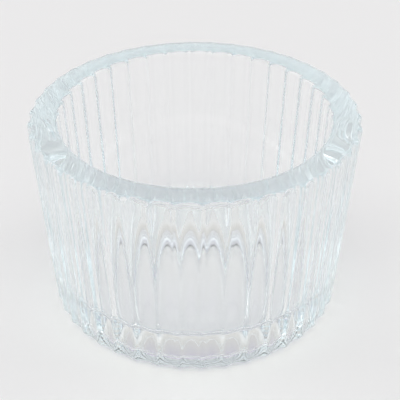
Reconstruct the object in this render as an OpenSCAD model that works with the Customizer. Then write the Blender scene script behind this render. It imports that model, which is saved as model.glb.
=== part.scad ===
// Fluted pressed-glass tealight holder.
// One moulding of clear glass: a round cup with a flat rim, a thick base with a
// domed underside on a low standing ring, a smooth drafted inside, and concave
// flutes with narrow ridges all round the outside.
// Origin: centre of the underside of the standing ring. +Z is up.

/* [Cup] */
// Diameter over the flute ridges at the widest part of the rim
rim_d = 80; // [70:0.5:100]
// Height from the table to the flat top of the rim
total_h = 50.5; // [44:0.5:70]
// Width of the rim from the inner wall to the ridges
rim_t = 7.2; // [5:0.1:9]
// Radius of the rounded outer edge of the rim
brow_r = 1.3; // [0.6:0.1:2.5]
// Radius of the rounded inner edge of the rim
lip_r = 0.9; // [0.3:0.1:2]
// Outward lean of the outer wall in degrees
outer_draft = 4.05; // [2:0.05:7]
// Outward lean of the inner wall in degrees
inner_draft = 2.3; // [0:0.1:6]

/* [Flutes] */
// Number of flutes round the wall
flutes = 42; // [24:1:60]
// Depth of a flute below the ridges at the bottom edge
flute_depth_low = 0.84; // [0.4:0.01:1.5]
// Depth of a flute below the ridges at the rim
flute_depth_high = 1.0; // [0.4:0.05:2]
// Radius of the round tool that cuts each flute
flute_r = 5.2; // [3:0.05:8]

/* [Base] */
// Height of the inner floor above the table
floor_z = 8.6; // [8:0.1:14]
// Radius of the fillet between the inner wall and the floor
floor_fillet = 2.5; // [0.5:0.1:5]
// Radius of the rounded lower edge of the fluted wall
edge_r = 1.0; // [0.6:0.1:1.6]
// Outer diameter of the standing ring
ring_od = 68; // [50:0.5:70]
// Inner diameter of the standing ring
ring_id = 52; // [40:0.5:64]
// Height of the gap under the fluted edge, at least twice the rounding of the ring
ring_h = 1.0; // [1:0.1:2]
// Height of the domed underside at its centre
dome_h = 6; // [1:0.1:7]

/* [Hidden] */
$fn = 96;
ring_edge = 0.5;
// Tangent points of the straight walls on the rounded edges of the rim
brow_x = rim_d / 2 - brow_r;
brow_z = total_h - brow_r;
out_x = brow_x + brow_r * cos(outer_draft);
out_z = brow_z - brow_r * sin(outer_draft);
lip_x = rim_d / 2 - rim_t + lip_r;
lip_z = total_h - lip_r;
in_x = lip_x - lip_r * cos(inner_draft);
in_z = lip_z + lip_r * sin(inner_draft);
// Wall radius at any height, outside on the ridges and inside
function outer_x(z) = out_x - (out_z - z) * tan(outer_draft);
function inner_x(z) = in_x - (in_z - z) * tan(inner_draft);
// Centre of the rounded lower edge, tangent to the wall and to the underside
edge_cx = outer_x(ring_h + edge_r) - edge_r / cos(outer_draft);
// Centre of the fillet of the floor, tangent to the wall and to the floor
fillet_cx = inner_x(floor_z + floor_fillet) - floor_fillet / cos(inner_draft);
// Distance from the axis to the centre line of a flute's cutter
cut_low = outer_x(ring_h) - flute_depth_low + flute_r;
cut_high = rim_d / 2 - flute_depth_high + flute_r;
cut_tilt = atan((cut_high - cut_low) / (brow_z - ring_h));
cut_len = 80;
// Radius of the sphere of the domed underside, which starts on the ring's edge
dome_rise = dome_h - ring_edge;
dome_r = (pow(ring_id / 2, 2) + pow(dome_rise, 2)) / (2 * dome_rise);

// Half section of the solid cup, before the inside is taken out
module cup_section() {
    polygon([
        [0, ring_edge],
        [ring_id / 2, ring_edge],
        [ring_id / 2, ring_h],
        [edge_cx, ring_h],
        [edge_cx + edge_r * cos(outer_draft), ring_h + edge_r * (1 - sin(outer_draft))],
        [out_x, out_z],
        [brow_x, brow_z],
        [brow_x, total_h],
        [0, total_h]
    ]);
    translate([edge_cx, ring_h + edge_r]) circle(edge_r);
    translate([brow_x, brow_z]) circle(brow_r);
}

// Half section of the space inside the cup, with the rounded inner edge of the rim
module inside_section() {
    polygon([
        [-1, floor_z],
        [fillet_cx, floor_z],
        [fillet_cx + floor_fillet * cos(inner_draft), floor_z + floor_fillet * (1 - sin(inner_draft))],
        [in_x, in_z],
        [in_x, total_h + 1],
        [-1, total_h + 1]
    ]);
    translate([fillet_cx, floor_z + floor_fillet]) circle(floor_fillet);
    difference() {
        translate([in_x - 0.1, in_z]) square([lip_x - in_x + 0.1, total_h + 1 - in_z]);
        translate([lip_x, lip_z]) circle(lip_r);
    }
}

// Half section of the standing ring, with rounded lower corners
module ring_section() {
    ri = ring_id / 2;
    ro = ring_od / 2;
    translate([ri + ring_edge, 0]) square([ro - ri - 2 * ring_edge, ring_h + 0.6]);
    translate([ri, ring_edge]) square([ro - ri, ring_h + 0.6 - ring_edge]);
    translate([ri + ring_edge, ring_edge]) circle(ring_edge);
    translate([ro - ring_edge, ring_edge]) circle(ring_edge);
}

// Half section of the hollow under the base
module dome_section() {
    intersection() {
        translate([0, dome_h - dome_r]) circle(dome_r);
        translate([-1, -1]) square([ring_id / 2 + 1, dome_h + 2]);
    }
}

// Round bar that cuts one flute, leaning with the wall
module flute_cutter() {
    translate([cut_low, 0, ring_h])
        rotate([0, cut_tilt, 0])
            translate([0, 0, -10]) cylinder(r = flute_r, h = cut_len);
}

module glass_body() {
    color([0.86, 0.93, 0.93, 0.45])
        difference() {
            rotate_extrude()
                difference() {
                    union() {
                        cup_section();
                        ring_section();
                    }
                    inside_section();
                    dome_section();
                }
            for (i = [0 : flutes - 1])
                rotate([0, 0, (i + 0.5) * 360 / flutes]) flute_cutter();
        }
}

glass_body();
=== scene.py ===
"""Fluted pressed-glass tealight holder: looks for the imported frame."""

from math import cos, degrees, pi, radians, sin, sqrt, tan

import bpy
from mathutils import Euler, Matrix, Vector


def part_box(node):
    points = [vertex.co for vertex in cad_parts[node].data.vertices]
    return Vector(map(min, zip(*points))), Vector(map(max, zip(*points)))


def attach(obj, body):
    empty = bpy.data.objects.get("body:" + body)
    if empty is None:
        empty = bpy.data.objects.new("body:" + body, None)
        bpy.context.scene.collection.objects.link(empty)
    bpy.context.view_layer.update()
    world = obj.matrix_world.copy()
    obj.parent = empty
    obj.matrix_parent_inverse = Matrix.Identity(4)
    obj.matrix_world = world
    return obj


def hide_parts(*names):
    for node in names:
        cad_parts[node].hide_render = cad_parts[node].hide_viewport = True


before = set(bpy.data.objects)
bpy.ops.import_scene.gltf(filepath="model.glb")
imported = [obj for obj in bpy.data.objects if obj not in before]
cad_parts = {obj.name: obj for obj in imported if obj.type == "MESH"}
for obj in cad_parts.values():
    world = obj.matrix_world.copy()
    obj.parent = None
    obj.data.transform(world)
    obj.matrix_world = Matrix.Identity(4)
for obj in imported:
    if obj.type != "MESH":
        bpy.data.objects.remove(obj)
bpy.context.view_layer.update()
scene = bpy.context.scene
low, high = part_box("glass_body")

# The moulding, in metres. The rim's width and the height come from the frame. The flutes are
# shallower and their ridges rounder than the CAD's, which looks nearer the photo: the wall lies
# up to 0.15 mm from the CAD's and the lower edge up to 0.3 mm.
MM = 0.001
RIM_R = high[0]
HEIGHT = high[2]
RIM_T = 7.2 * MM  # width of the rim from the inner wall to the ridges
BROW_R = 1.3 * MM  # rounding of the rim's outer edge
LIP_R = 0.9 * MM  # rounding of the rim's inner edge
CROWN = 0.15 * MM  # how far fire-polish swells the middle of the rim
OUTER_DRAFT = radians(4.05)
INNER_DRAFT = radians(2.3)
FLUTES = 42
FLUTE_LOW = 0.72 * MM  # depth of a flute at the bottom edge
FLUTE_HIGH = 0.85 * MM  # depth of a flute at the rim
CUTTER_R = 5.2 * MM
FLOOR_Z = 8.6 * MM
FLOOR_FILLET = 2.5 * MM
EDGE_R = 1.0 * MM  # rounding of the lower edge
RING_OUT = 34.0 * MM
RING_IN = 26.0 * MM
RING_H = 1.0 * MM
RING_EDGE = 0.5 * MM
DOME_H = 6.0 * MM  # height of the domed underside at its centre
TIP = 1.2 * MM  # how far fire-polish rounds a ridge
LAND = 0.05 * MM  # the same where a flute meets a turned surface
TIGHT = 0.04 * MM  # distance from a crease to the row that supports it
STEPS = 20  # columns to a flute, closer together towards the ridges
# Rows of the mesh on each stretch of the outline
DOME_ROWS, EDGE_ROWS, WALL_ROWS, BROW_ROWS, RIM_ROWS = 14, 6, 14, 10, 8
LIP_ROWS, INSIDE_ROWS, FILLET_ROWS, FLOOR_ROWS = 10, 15, 10, 6
RING_ROWS = 4  # on each rounded corner of the standing ring
GAP_ROWS = (0, 0.02, 0.35, 0.7, 1)  # shares of the way from the ring to the wall's lower edge

# The glass and the table
GLASS_IOR = 1.52
GLASS_TINT = (0.62, 0.78, 0.82, 1)
GLASS_DENSITY = 6.0  # how fast the tint grows with the length of the path
TABLE_DARK = (0.842, 0.849, 0.827, 1)
TABLE_LIGHT = (0.856, 0.863, 0.841, 1)
TABLE_HALF = 3.0
TABLE_GAP = 0.02 * MM  # keeps the table clear of the standing ring

# The camera, fitted to the photo's view: in rim radii, to the right of the axis, in front of it
# and above the widest part of the rim
CAMERA_SIDE, CAMERA_BACK, CAMERA_UP = 0.030, 5.324, 2.976
CAMERA_PITCH = 0.592  # radians below the horizon
CAMERA_TURN = radians(1.569)  # round the axis, to bring the ridges to their places
CAMERA_LENS = 91.14
CAMERA_SENSOR = 36

# How much light comes from each height of the sky, from the horizon to straight up. These
# and the soft boxes were tuned until the tones came near the photo's.
SKY = [
    (0.0, (0.2, 0.2, 0.2)),
    (0.18, (0.25, 0.25, 0.25)),
    (0.3, (0.76, 0.76, 0.76)),
    (0.42, (0.88, 0.87, 0.86)),
    (0.55, (0.74, 0.72, 0.69)),
    (0.7, (0.69, 0.68, 0.67)),
    (0.85, (0.63, 0.62, 0.67)),
    (1.0, (0.58, 0.48, 0.79)),
]
# Soft boxes: direction, inner and outer radius in degrees, light
PATCHES = [
    ((-1, 0.1, 0.36), 14, 26, (2.6, 2.6, 2.6)),
    ((1, 0.2, 0.36), 12, 24, (2.6, 2.6, 2.6)),
    ((0, -0.75, 0.66), 30, 50, (1.42, 1.42, 1.4)),
]
GAIN = 0.957  # strength of the whole sky

brow_z = HEIGHT - BROW_R
brow_x = RIM_R - BROW_R
lip_x = RIM_R - RIM_T + LIP_R
lip_z = HEIGHT - LIP_R


def outer_x(z):
    return RIM_R - (brow_z - z) * tan(OUTER_DRAFT)


def inner_x(z):
    return RIM_R - RIM_T - (lip_z - z) * tan(INNER_DRAFT)


cut_low = outer_x(RING_H) - FLUTE_LOW + CUTTER_R
cut_high = RIM_R - FLUTE_HIGH + CUTTER_R
cut_lean = (cut_high - cut_low) / (brow_z - RING_H)


def smooth_min(a, b, k):
    h = max(k - abs(a - b), 0.0) / k
    return min(a, b) - h * h * k / 4


def flute_radius(z, psi):
    """Radius at height z of the flute whose middle is psi away."""
    c = cut_low + (z - RING_H) * cut_lean
    long = CUTTER_R * sqrt(1 + cut_lean**2)  # the leaning bar's section is an ellipse
    # (x - c)^2 / long^2 + y^2 / CUTTER_R^2 = 1 with x, y = radius * (cos, sin)
    qa = cos(psi) ** 2 / long**2 + sin(psi) ** 2 / CUTTER_R**2
    qb = -2 * cos(psi) * c / long**2
    qc = c**2 / long**2 - 1
    disc = qb * qb - 4 * qa * qc
    return (-qb - sqrt(disc)) / (2 * qa) if disc > 0 else 2 * RIM_R


def fluted(r, z, psi):
    """Radius at height z of an envelope of radius r, cut by the flutes on both sides of a ridge."""
    near, far = abs(psi), 2 * pi / FLUTES - abs(psi)
    return smooth_min(r, smooth_min(flute_radius(z, near), flute_radius(z, far), TIP), LAND)


def arc(cx, cz, radius, start, end, steps):
    """Points on an arc in the half section, from angle start to end in degrees."""
    for i in range(steps + 1):
        a = radians(start + (end - start) * i / steps)
        yield cx + radius * cos(a), cz + radius * sin(a)


def half_section():
    """The outline from the underside's centre to the floor's: (kind, r, z, share of the stretch)."""
    rows = []
    e = RING_EDGE
    # The dome is part of a sphere that ends on the inner corner of the standing ring
    rise = DOME_H - e
    dome_r = (RING_IN**2 + rise**2) / (2 * rise)
    for share in [i / DOME_ROWS for i in range(1, DOME_ROWS)] + [1 - TIGHT / RING_IN, 1]:
        x = RING_IN * share
        rows.append(("plain", x, DOME_H - dome_r + sqrt(dome_r**2 - x**2), 0))
    for x, z in list(arc(RING_IN + e, e, e, 180, 270, RING_ROWS))[1:]:
        rows.append(("plain", x, z, 0))
    for x, z in arc(RING_OUT - e, e, e, 270, 360, RING_ROWS):
        rows.append(("plain", x, z, 0))
    rows.append(("plain", RING_OUT, RING_H - TIGHT, 0))
    for share in GAP_ROWS:
        rows.append(("gap", RING_OUT, RING_H, share))
    for i in range(1, EDGE_ROWS + 1):
        rows.append(("edge", 0, RING_H, i / EDGE_ROWS))
    foot = RING_H + EDGE_R
    for i in range(1, WALL_ROWS + 1):
        z = foot + (brow_z - foot) * i / WALL_ROWS
        rows.append(("wall", outer_x(z), z, 0))
    for i in range(1, BROW_ROWS + 1):
        rows.append(("brow", 0, 0, i / BROW_ROWS))
    for i in range(1, RIM_ROWS + 1):
        rows.append(("rim", 0, 0, i / RIM_ROWS))
    draft = degrees(INNER_DRAFT)
    for x, z in list(arc(lip_x, lip_z, LIP_R, 90, 180 - draft, LIP_ROWS))[1:]:
        rows.append(("plain", x, z, 0))
    fillet_z = FLOOR_Z + FLOOR_FILLET
    fillet_x = inner_x(fillet_z) - FLOOR_FILLET / cos(INNER_DRAFT)
    last = fillet_z - FLOOR_FILLET * sin(INNER_DRAFT)
    for i in range(1, INSIDE_ROWS):
        z = lip_z + (last - lip_z) * i / INSIDE_ROWS
        rows.append(("plain", inner_x(z), z, 0))
    for x, z in arc(fillet_x, fillet_z, FLOOR_FILLET, -draft, -90, FILLET_ROWS):
        rows.append(("plain", x, z, 0))
    for i in range(1, FLOOR_ROWS):
        rows.append(("plain", fillet_x * (1 - i / FLOOR_ROWS), FLOOR_Z, 0))
    return rows


def point(kind, r, z, share, psi):
    """Radius and height of one point of a row, psi away from the middle of its flute."""
    if kind == "plain":
        return r, z
    if kind == "wall":
        return fluted(r, z, psi), z
    if kind in ("brow", "rim"):
        # The rim stays round: the width of its rounded edge follows the flutes
        wide = fluted(RIM_R, brow_z, psi) - brow_x
        if kind == "rim":
            return brow_x + (lip_x - brow_x) * share, HEIGHT + CROWN * 4 * share * (1 - share)
        a = pi / 2 * share
        return brow_x + wide * cos(a), brow_z + BROW_R * sin(a)
    wall = fluted(outer_x(RING_H + EDGE_R), RING_H + EDGE_R, psi)
    if kind == "gap":
        return r + (wall - EDGE_R - r) * share, z
    a = pi / 2 * share
    return wall - EDGE_R + EDGE_R * sin(a), z + EDGE_R - EDGE_R * cos(a)


def build_glass():
    rows = half_section()
    pitch = 2 * pi / FLUTES
    psis = [pitch / 2 * sin(pi / 2 * (2 * i / STEPS - 1)) for i in range(STEPS)]
    verts, faces = [], []
    for row in rows:
        ring = [point(*row, psi) for psi in psis]
        for f in range(FLUTES):
            for psi, (r, z) in zip(psis, ring):
                a = (f + 0.5) * pitch + psi
                verts.append((r * cos(a), r * sin(a), z))
    n = FLUTES * STEPS
    for j in range(len(rows) - 1):
        for i in range(n):
            k = (i + 1) % n
            faces.append((j * n + i, j * n + k, (j + 1) * n + k, (j + 1) * n + i))
    centre = len(verts)
    verts += [(0, 0, DOME_H), (0, 0, FLOOR_Z)]
    last = (len(rows) - 1) * n
    for i in range(n):
        k = (i + 1) % n
        faces += [(centre, k, i), (centre + 1, last + i, last + k)]
    mesh = bpy.data.meshes.new("glass_cup")
    mesh.from_pydata(verts, [], faces)
    mesh.validate()
    mesh.shade_smooth()
    cup = bpy.data.objects.new("glass_cup", mesh)
    scene.collection.objects.link(cup)
    return cup


def material(name):
    mat = bpy.data.materials.new(name)
    mat.use_nodes = True
    tree = mat.node_tree
    return mat, tree, tree.nodes["Principled BSDF"].inputs


def surface_noise(tree, scale, strength, distance):
    """A procedural unevenness in the material's normals."""
    where = tree.nodes.new("ShaderNodeTexCoord")
    noise = tree.nodes.new("ShaderNodeTexNoise")
    bump = tree.nodes.new("ShaderNodeBump")
    noise.inputs["Scale"].default_value = scale
    noise.inputs["Detail"].default_value = 1.0
    bump.inputs["Strength"].default_value = strength
    bump.inputs["Distance"].default_value = distance
    tree.links.new(where.outputs["Object"], noise.inputs["Vector"])
    tree.links.new(noise.outputs[0], bump.inputs["Height"])
    tree.links.new(bump.outputs[0], tree.nodes["Principled BSDF"].inputs["Normal"])
    return noise


def clear_glass():
    mat, tree, inputs = material("clear_pressed_glass")
    inputs["Base Color"].default_value = (1, 1, 1, 1)
    inputs["Roughness"].default_value = 0.0
    inputs["IOR"].default_value = GLASS_IOR
    inputs["Transmission Weight"].default_value = 1.0
    body = tree.nodes.new("ShaderNodeVolumeAbsorption")
    body.inputs["Color"].default_value = GLASS_TINT
    body.inputs["Density"].default_value = GLASS_DENSITY
    tree.links.new(body.outputs[0], tree.nodes["Material Output"].inputs["Volume"])
    # The slight waviness that pressing leaves in the surface
    surface_noise(tree, scale=160.0, strength=1.0, distance=0.003 * MM)
    return mat


def pale_table():
    mat, tree, inputs = material("pale_table")
    inputs["Roughness"].default_value = 0.8
    inputs["Specular IOR Level"].default_value = 0.0
    noise = surface_noise(tree, scale=900.0, strength=0.3, distance=0.05 * MM)
    tone = tree.nodes.new("ShaderNodeValToRGB")
    tone.color_ramp.elements[0].color = TABLE_DARK
    tone.color_ramp.elements[1].color = TABLE_LIGHT
    tree.links.new(noise.outputs[0], tone.inputs[0])
    tree.links.new(tone.outputs[0], inputs["Base Color"])
    return mat


def add_floor():
    s = TABLE_HALF
    mesh = bpy.data.meshes.new("floor")
    mesh.from_pydata([(-s, -s, 0), (s, -s, 0), (s, s, 0), (-s, s, 0)], [], [(0, 1, 2, 3)])
    mesh.materials.append(pale_table())
    floor = bpy.data.objects.new("floor", mesh)
    floor.location.z = low[2] - TABLE_GAP
    scene.collection.objects.link(floor)


def add_sky():
    """A soft studio: a pale dome with a dim horizon and three soft boxes."""
    world = bpy.data.worlds.new("studio")
    scene.world = world
    world.use_nodes = True
    tree = world.node_tree
    new, link = tree.nodes.new, tree.links.new
    where = new("ShaderNodeTexCoord").outputs["Generated"]
    split = new("ShaderNodeSeparateXYZ")
    ramp = new("ShaderNodeValToRGB")
    link(where, split.inputs[0])
    link(split.outputs["Z"], ramp.inputs[0])
    bands = ramp.color_ramp.elements
    while len(bands) < len(SKY):
        bands.new(0.5)
    for band, (height, light) in zip(bands, SKY):
        band.position = height
    # The bands sort themselves as they move, so the colours come once all are in place
    for band, (height, light) in zip(bands, SKY):
        band.color = (*light, 1)
    tone = ramp.outputs[0]
    for direction, inner, outer, light in PATCHES:
        near = new("ShaderNodeVectorMath")
        near.operation = "DOT_PRODUCT"
        near.inputs[1].default_value = Vector(direction).normalized()
        link(where, near.inputs[0])
        ease = new("ShaderNodeMapRange")
        ease.interpolation_type = "SMOOTHSTEP"
        ease.inputs["From Min"].default_value = cos(radians(outer))
        ease.inputs["From Max"].default_value = cos(radians(inner))
        link(near.outputs["Value"], ease.inputs["Value"])
        mix = new("ShaderNodeMix")
        mix.data_type = "RGBA"
        # Sockets 0, 6 and 7 are the factor and the two colours; 2 is the mixed colour
        link(ease.outputs[0], mix.inputs[0])
        link(tone, mix.inputs[6])
        mix.inputs[7].default_value = (*light, 1)
        tone = mix.outputs[2]
    sky = tree.nodes["Background"]
    link(tone, sky.inputs["Color"])
    sky.inputs["Strength"].default_value = GAIN


def add_camera():
    data = bpy.data.cameras.new("camera")
    data.sensor_width = CAMERA_SENSOR
    data.lens = CAMERA_LENS
    data.clip_start = 0.01
    camera = bpy.data.objects.new("camera", data)
    place = Vector((CAMERA_SIDE * RIM_R, -CAMERA_BACK * RIM_R, brow_z + CAMERA_UP * RIM_R))
    place.rotate(Euler((0, 0, CAMERA_TURN)))
    camera.location = place
    camera.rotation_euler = (pi / 2 - CAMERA_PITCH, 0, CAMERA_TURN)
    scene.collection.objects.link(camera)
    scene.camera = camera


cup = build_glass()
cup.data.materials.append(clear_glass())
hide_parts("glass_body")
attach(cup, "root")
add_floor()
add_sky()
add_camera()

scene.view_settings.view_transform = "Standard"
# Light crosses many glass surfaces between the flutes, so the paths are long
scene.cycles.max_bounces = 64
scene.cycles.glossy_bounces = 48
scene.cycles.transmission_bounces = 48
scene.cycles.transparent_max_bounces = 16
scene.cycles.diffuse_bounces = 12
scene.cycles.blur_glossy = 0.0
